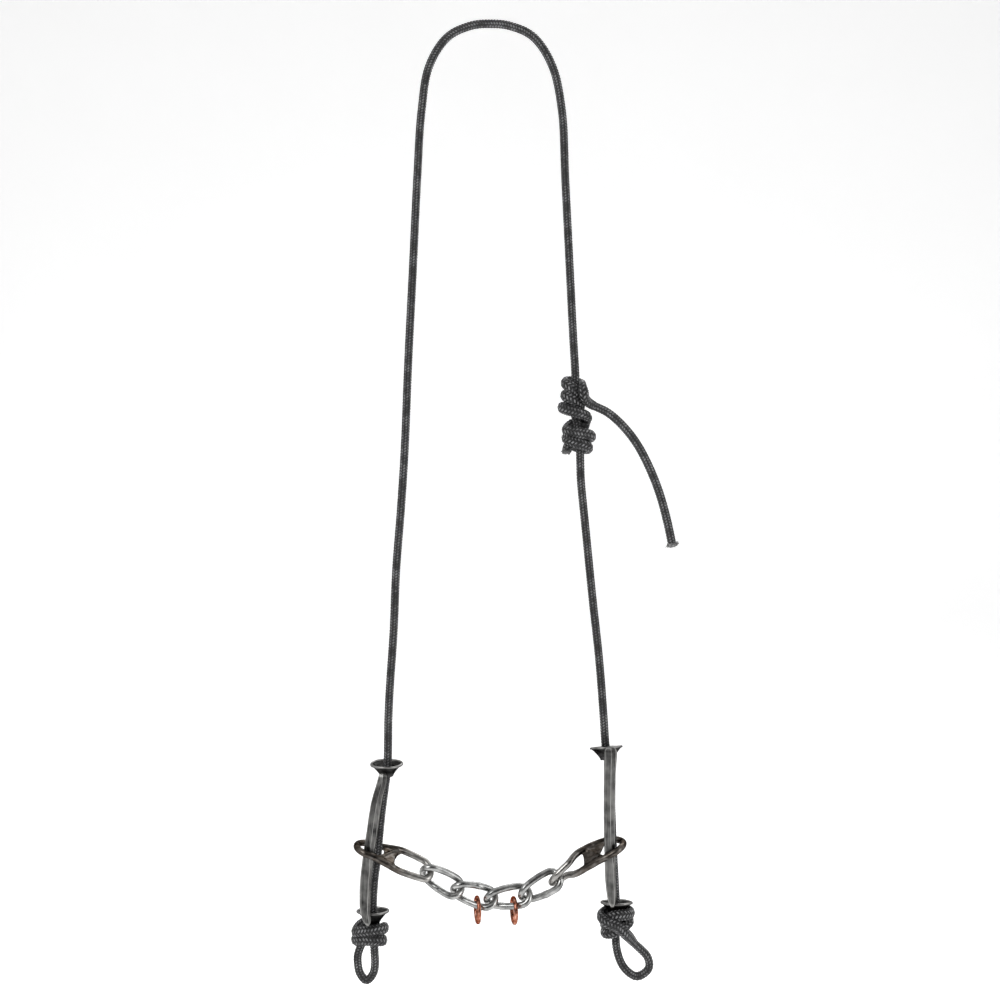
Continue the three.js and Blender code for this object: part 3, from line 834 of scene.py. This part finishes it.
def hammered(piece, amount, scale, seed):
    """Moves a surface in and out a little, as forging and filing leave it."""
    mesh = piece.data
    co = corners(mesh)
    normal = np.empty(len(co) * 3, np.float32)
    mesh.vertex_normals.foreach_get("vector", normal)
    co += normal.reshape(-1, 3) * (amount * rumple(co, scale, seed))[:, None]
    mesh.vertices.foreach_set("co", (co * MM).astype(np.float32).ravel())
    mesh.update()


def eyelet_profile():
    """Down the inside from the lip, round the small end, up the outside and over the rolled lip."""
    hole, rim, height = EYELET["hole"], EYELET["rim"], EYELET["height"]
    small = hole + EYELET["wall"]
    lip, bead = (rim - 0.75, height - 0.75), 0.75
    inside = [
        (rim - 1.9, height - 1.5), (rim - 2.9, 5.9), (hole + 2.3, 3.6), (hole + 0.5, 1.7), (hole, 0.6),
    ]
    outside = [(small, 0.25), (small + 0.35, 1.2), (small + 1.7, 3.2), (rim - 2.0, 5.6), (rim - 0.9, 6.7)]
    foot = [(hole + 0.05, 0.15), (hole + 0.3, 0), (small - 0.25, 0)]
    around = np.radians(range(-50, 211, 20))
    roll = [(lip[0] + bead * math.cos(a), lip[1] + bead * math.sin(a)) for a in around]
    flat = arr([(x, 0, z) for x, z in inside + foot + outside])
    return np.vstack([spline(flat, 0.3)[:, [0, 2]], roll])


def eyelet(side, level):
    (at, back, tilt), sides = EYELETS[side][level], 96
    profile = eyelet_profile()
    angle = around(sides)
    seed = 1 + 2 * (side == "right") + (level == "lower")
    wave = 1 + 0.012 * np.sin(2 * angle + seed) + 0.006 * np.sin(5 * angle + 2 * seed)
    share = (profile[:, 1] / EYELET["height"]) ** 2
    radius = profile[:, :1] * (1 + share[:, None] * (wave - 1)[None])
    height = profile[:, 1:] + 0.12 * share[:, None] * np.sin(3 * angle + seed)[None]
    verts = np.stack([radius * np.cos(angle), radius * np.sin(angle), height], 2).reshape(-1, 3)
    piece = quads(f"{side}_{level}_eyelet_flared", verts @ leaning(back, tilt).T + arr(at),
        grid_faces(len(profile), sides, wrap_rows=True)[:, ::-1], EYELET_STEEL)
    hammered(piece, 0.05, 0.45, seed)
    lip = np.clip((profile[:, 1] - EYELET["height"] + 1.3) / 0.9, 0, 1)
    mark(piece, "wear_and_highlight", np.repeat(lip, sides))
    heated = (side, level) == ("right", "lower")
    first, last = HEAT_STAIN
    stain = np.clip((verts[:, 0] - first) / 1.2, 0, 1) * np.clip((last - verts[:, 0]) / 1.6, 0, 1) * heated
    mark(piece, "heat", stain * (0.85 + 0.5 * rumple(verts, 0.7, 5)))
    fit(piece, f"{side}_{level}_eyelet", f"{side}_cheek")


def eyelet_outer(h):
    small, rim = EYELET["hole"] + EYELET["wall"], EYELET["rim"]
    return np.interp(h, [0, 1.2, 3.2, 5.6, 6.7, EYELET["height"]],
        [small, small + 0.35, small + 1.7, rim - 2.0, rim - 0.9, rim])


def pressed_on(verts, place_and_tilt, sink=0.3):
    """Moves what would poke through an eyelet's wall out to the wall, so that a bar sits brazed on it."""
    at, back, tilt = place_and_tilt
    turn = leaning(back, tilt)
    local = (verts - arr(at)) @ turn
    r = np.linalg.norm(local[:, :2], axis=1)
    limit = eyelet_outer(local[:, 2]) - sink
    inside = (local[:, 2] > -0.4) & (local[:, 2] < EYELET["height"] + 3) & (r < limit)
    local[inside, :2] *= (limit / np.maximum(r, 1e-6))[inside, None]
    return local @ turn.T + arr(at)


def bar_section(ridge):
    """A bar's section in half widths and half depths, and how much of an edge each point of it is, which
    gives the edge wear and a painted highlight along it.

    The front is ground in two facets that meet at the ridge."""
    p = arr([
        (-1.0, 0.2), (-0.9, -0.5), (ridge, -1.0), (max(0.86, ridge + 0.22), -0.62), (1.0, -0.05),
        (0.92, 0.6), (0.5, 1.0), (-0.5, 1.0), (-0.94, 0.7),
    ])
    before, after = np.roll(p, 1, 0), np.roll(p, -1, 0)
    outline, edge_wear_and_highlight = [], []
    for a, b, c in zip(before, p, after):
        for t, curve in ((0.9, a), (0.955, a), (1, None), (0.955, c), (0.9, c)):
            outline.append(0.98 * b + 0.01 * (a + c) if curve is None else t * b + (1 - t) * curve)
            edge_wear_and_highlight.append(0.75 if curve is None else 0.3 if t > 0.93 else 0.0)
        for t in (0.3, 0.5, 0.7):
            outline.append((1 - t) * b + t * c)
            edge_wear_and_highlight.append(0.0)
    return arr(outline), arr(edge_wear_and_highlight)


def cheek_bar(side):
    stations = BARS[side]
    line = spline([at for at, _, _ in stations])
    heights = [-at[2] for at, _, _ in stations]
    width, depth = [
        blurred(np.interp(-line[:, 2], heights, [s[k] for s in stations]), 4, mode="edge") for k in (1, 2)
    ]
    closing = np.sqrt(1 - np.linspace(0.98, 0, 7) ** 2)
    width[:7], depth[:7] = width[:7] * closing, depth[:7] * closing
    width[-7:], depth[-7:] = width[-7:] * closing[::-1], depth[-7:] * closing[::-1]
    upper, edge_wear_and_highlight = bar_section(UPPER_RIDGE)
    lower, _ = bar_section(LOWER_RIDGE)
    top, bottom = RIDGE_MOVES
    share = np.clip((top - line[:, 2]) / (top - bottom), 0, 1)[:, None, None]
    outline = upper + share * (lower - upper)
    across = np.zeros((len(line), len(upper), 3))
    across[:, :, 0] = outline[:, :, 0] * width[:, None] / 2
    across[:, :, 1] = outline[:, :, 1] * depth[:, None] / 2
    verts = (line[:, None] + across).reshape(-1, 3)
    for level in ("upper", "lower"):
        verts = pressed_on(verts, EYELETS[side][level])
    faces = capped(len(line), len(upper))
    piece = quads(f"{side}_cheek_bar_ground", verts, faces, DARK_STEEL)
    hammered(piece, 0.06, 0.22, 3 + (side == "right"))
    ends = np.minimum(np.arange(len(line)), np.arange(len(line))[::-1]) < 5
    # Edge wear and a painted highlight along the bar's edges and ridge; the ends get a little wear.
    mark(piece, "wear_and_highlight", np.maximum(np.tile(edge_wear_and_highlight, len(line)), 0.2 * np.repeat(ends, len(upper))))
    fit(piece, f"{side}_cheek_bar", f"{side}_cheek")


def strand_direction(twist):
    """The upper strand's direction on a loop whose plane is turned by twist degrees from upright."""
    a = np.radians(twist)
    return np.stack([np.zeros_like(a), -np.sin(a), np.cos(a)], -1)


def plane_normal(twist):
    a = np.radians(twist)
    return np.stack([np.zeros_like(a), -np.cos(a), -np.sin(a)], -1)


def wire_loop(points, normals, radius, sides):
    """A closed loop of round wire. Radius is one number or one for each point and side."""
    tangent = unit(np.roll(points, -1, 0) - np.roll(points, 1, 0))
    up = unit(normals - tangent * np.sum(normals * tangent, 1, keepdims=True))
    out = np.cross(tangent, up)
    ring = spokes(around(sides), up[:, None], out[:, None])
    verts = points[:, None] + ring * np.broadcast_to(radius, (len(points), sides))[:, :, None]
    return verts.reshape(-1, 3), grid_faces(len(points), sides, wrap_rows=True)


def link_place(index):
    """Where a link's middle is, and the way it points, from its two pitch points."""
    a, b = arr(PITCH_POINTS[index]), arr(PITCH_POINTS[index + 1])
    (x, z), (c, s) = (a + b) / 2, unit(b - a)
    return arr((x, MOUTH_Y, z)), arr([(c, 0, s), (0, 1, 0), (-s, 0, c)])


def chain_link(index):
    """A link bent from round wire, twisted along its length and butt-welded on one strand."""
    bend = (LINK["width"] - LINK["wire"]) / 2
    tip = (LINK["length"] - LINK["wire"]) / 2
    half_turn = np.linspace(math.pi / 2, -math.pi / 2, 26, endpoint=False)
    run = np.linspace(1, -1, 34, endpoint=False)
    outline = []
    for end in (1, -1):
        outline += [
            (end * (tip - bend + bend * math.cos(a)), end * bend * math.sin(a)) for a in half_turn
        ]
        outline += [(end * (tip - bend) * x, -end * bend) for x in run]
    x, across = arr(outline).T
    twist = -LINK["twist"] / 2 * x / tip
    points = strand_direction(twist) * across[:, None] + np.stack([x, 0 * x, 0 * x], 1)
    strand, weld_at = WELDS[index]
    sides = 24
    off = np.where(np.sign(across) == strand, x - weld_at, 99.0)[:, None]
    turn = around(sides)[None]
    bead = 0.26 * np.exp(-((off / 1.15) ** 2)) * (1 + 0.35 * np.sin(turn * 2 + index)) - 0.3 * np.exp(
        -(((off + 0.12 * np.sin(turn * 3)) / 0.22) ** 2))
    verts, faces = wire_loop(points, plane_normal(twist), LINK["wire"] / 2 + 0.03 + bead, sides)
    middle, axes = link_place(index)
    name = f"chain_link_{index + 1}"
    piece = quads(f"{name}_twisted", verts @ axes + middle, faces, ZINC)
    hammered(piece, 0.035, 0.5, 20 + index)
    mark(piece, "wear_and_highlight", np.repeat(np.clip((np.abs(x) - tip + 3) / 3, 0, 1), sides))
    fit(piece, name, name)


def slab(sheet, half):
    """A closed plate either side of a grid of points."""
    plate = np.concatenate([sheet + half, (sheet - half)[:, ::-1]], 1)
    return plate.reshape(-1, 3), capped(len(sheet), plate.shape[1])


def connector(side):
    """A long loop of wire, twisted from level at the cheek to upright in the chain, with a web across."""
    made, stations = CONNECTORS[side], arr(CONNECTORS[side]["stations"])
    ends = arr([(x, MOUTH_Y, z) for x, z in made["path"]])
    t = np.linspace(0, 1, 800)[:, None]
    curve = (1 - t) ** 2 * ends[0] + 2 * t * (1 - t) * ends[1] + t ** 2 * ends[2]
    reach = lengths(curve)
    length = reach[-1]
    eye, tip = CONNECTOR["eye_round"], CONNECTOR["tip_round"]

    fine = np.linspace(0, length, 400)
    steady = [blurred(np.interp(fine, stations[:, 0], stations[:, k]), 30, mode="edge") for k in (1, 2)]

    def eased(d, key):
        return np.interp(d, fine, steady[key - 1])

    def spot(d, across):
        middle = np.stack([np.interp(d, reach, curve[:, k]) for k in range(3)], -1)
        return middle + strand_direction(eased(d, 2)) * (across * eased(d, 1))[..., None]

    quarter = np.linspace(0, math.pi / 2, 26)
    one_way = np.r_[eye * (1 - np.cos(quarter[:-1])), np.linspace(eye, length - tip, 70)[:-1],
        length - tip * (1 - np.sin(quarter))]
    rounding = np.where(one_way < eye, np.sqrt(np.clip(1 - ((eye - one_way) / eye) ** 2, 0, 1)),
        np.sqrt(np.clip(1 - (np.maximum(0, one_way - (length - tip)) / tip) ** 2, 0, 1)))
    d = np.r_[one_way, one_way[1:-1][::-1]]
    across = np.r_[rounding, -rounding[1:-1][::-1]]
    loop = wire_loop(spot(d, across), plane_normal(eased(d, 2)), CONNECTOR["wire"] / 2 + 0.05, 20)

    rows = np.linspace(-1, 1, 33)
    fifths = np.linspace(-1, 1, 5)
    start, stop = [
        blurred(np.interp(rows, fifths, made[key]), 3, mode="reflect", reflect_type="odd")
        for key in ("web_start", "web_stop")
    ]
    share = np.linspace(0, 1, 14)
    d = start[:, None] + (stop - start)[:, None] * share
    middle = spot(d, np.broadcast_to(rows[:, None], d.shape))
    half_thick = CONNECTOR["web"] / 2 * (1 - 0.25 * np.sin(math.pi * share))[None, :, None]
    web = slab(middle, plane_normal(eased(d, 2)) * half_thick)
    rim_line = Line(spot(start + 0.4, rows), 0.5, CONNECTOR["rim"])
    rim = core(rim_line, 0, len(rim_line), inset=0, sides=14, skip=1)
    deck_near, deck_far = made["deck"]
    deck_rows = np.linspace(deck_near, 1, 22)
    ridge = spot(np.interp(deck_rows, rows, start) + 0.4, deck_rows)
    back = spot(np.linspace(deck_far, start[-1] + 0.4, 22), np.ones(22))
    sheet = ridge[:, None] + (back - ridge)[:, None] * np.linspace(0, 1, 12)[None, :, None]
    deck = slab(sheet, plane_normal(arr([DECK["twist"]]))[0] * DECK["thick"] / 2)
    parts = [loop, web, rim, deck]
    piece = fused(f"{side}_connector_forged", parts, voxel=0.3, rounds=7, material=BROWN_STEEL)
    hammered(piece, 0.05, 0.45, 31 + (side == "right"))
    co = corners(piece.data)
    from_eye = np.abs(co[:, 0] - ends[0, 0])
    rubbed = 0.85 * np.clip((from_eye - 25) / 13, 0, 1)
    mark(piece, "wear_and_highlight", rubbed + 0.3 * np.clip(rumple(co, 0.35, 9), 0, 1))
    fit(piece, f"{side}_connector", f"{side}_connector")


def copper_ring(name):
    """A ring of copper wire round a link's lower strand, its two ends meeting in a fine butt joint."""
    index, distance = RINGS[name]
    tip, half = (LINK["length"] - LINK["wire"]) / 2, (LINK["width"] - LINK["wire"]) / 2
    strand = strand_direction(arr(-LINK["twist"] / 2 * distance / tip)) * -half + arr((distance, 0, 0))
    middle, axes = link_place(index)
    centre = strand @ axes + middle - arr((0, 0, RING["drop"]))
    angle = around(120)
    radius = (RING["outer"] - RING["wire"]) / 2
    yaw = math.radians(RING["yaw"])
    side = arr((math.cos(yaw), math.sin(yaw), 0))
    out = np.cross(side, arr((0, 0, 1)))
    points = centre + radius * spokes(angle, arr((0, 0, 1)), out)
    joint = np.abs(np.angle(np.exp(1j * (angle - 2.2)))) * radius
    wire = RING["wire"] / 2 * (1 - 0.16 * np.exp(-((joint / 0.35) ** 2)))
    verts, faces = wire_loop(points, np.broadcast_to(side, points.shape), wire[:, None], 20)
    piece = quads(f"{name}_wire", verts, faces, COPPER)
    hammered(piece, 0.05, 0.5, 40 + index)
    fit(piece, name, name)


for cheek_side in ("left", "right"):
    for eyelet_level in ("upper", "lower"):
        eyelet(cheek_side, eyelet_level)
    cheek_bar(cheek_side)
    connector(cheek_side)
for link_index in range(4):
    chain_link(link_index)
for ring_name in RINGS:
    copper_ring(ring_name)

# ---------------- stage, lights and camera


def camera():
    data = bpy.data.cameras.new("camera")
    data.lens, data.sensor_width = 45, 36
    made = place("camera", data)
    made.location = (0.006, -0.75, -0.2831)
    made.rotation_euler = (math.pi / 2, 0, 0)
    bpy.context.scene.camera = made


def softbox(name, at, target, size, power):
    data = bpy.data.lights.new(name, "AREA")
    data.shape, data.size, data.size_y = "RECTANGLE", *size
    data.energy = power
    made = place(name, data)
    made.location = at
    made.rotation_euler = (Vector(target) - Vector(at)).to_track_quat("-Z", "Y").to_euler()


def backdrop():
    """A pale floor that sweeps up into a wall behind the object."""
    profile = [(-3, -0.9), (1.2, -0.9), (1.7, -0.82), (2.05, -0.55), (2.2, -0.2), (2.2, 2.6)]
    verts = [(x * 1000, y * 1000, z * 1000) for y, z in profile for x in (-3.5, 3.5)]
    faces = [(2 * i, 2 * i + 1, 2 * i + 3, 2 * i + 2) for i in range(len(profile) - 1)]
    material, node, to = shader("pale_sweep", Roughness=1.0, Specular_IOR_Level=0.0,
        Emission_Color=(1, 1, 1, 1), Emission_Strength=0.4)
    to("Base Color", ramp(node, cloud(node, 3.0), [(0.3, (0.93, 0.93, 0.93)), (0.7, (0.95, 0.95, 0.95))]))
    quads("sweep", verts, faces, material)


def world():
    """A pale studio all round, with the dark of the room behind the camera for the metal to mirror."""
    made = bpy.data.worlds.new("studio")
    made.use_nodes = True
    tree = made.node_tree
    node = node_maker(tree)
    split = node("SeparateXYZ", {0: node("TexCoord").outputs["Generated"]})
    depth = node("MapRange", {"Value": split.outputs["Y"]}, in_From_Min=-1.0)
    tone = ramp(node, depth.outputs["Result"],
        [(0.0, (0.03,)), (0.12, (0.08,)), (0.27, (0.4,)), (0.45, (0.85,)), (1.0, (0.9,))])
    seen = node("LightPath").outputs["Is Camera Ray"]
    tree.links.new(mix_colours(node, seen, tone, (1, 1, 1)), tree.nodes["Background"].inputs["Color"])
    bpy.context.scene.world = made


camera()
backdrop()
world()
aim = (0.0, 0.0, -0.4)
softbox("key", (-0.9, -1.1, 0.55), aim, (0.8, 0.9), 15)
softbox("fill", (1.3, -0.7, -0.1), aim, (0.45, 1.2), 7)
softbox("rim", (0.4, 1.0, 0.5), aim, (1.0, 0.6), 8)
bpy.context.scene.view_settings.view_transform = "Standard"
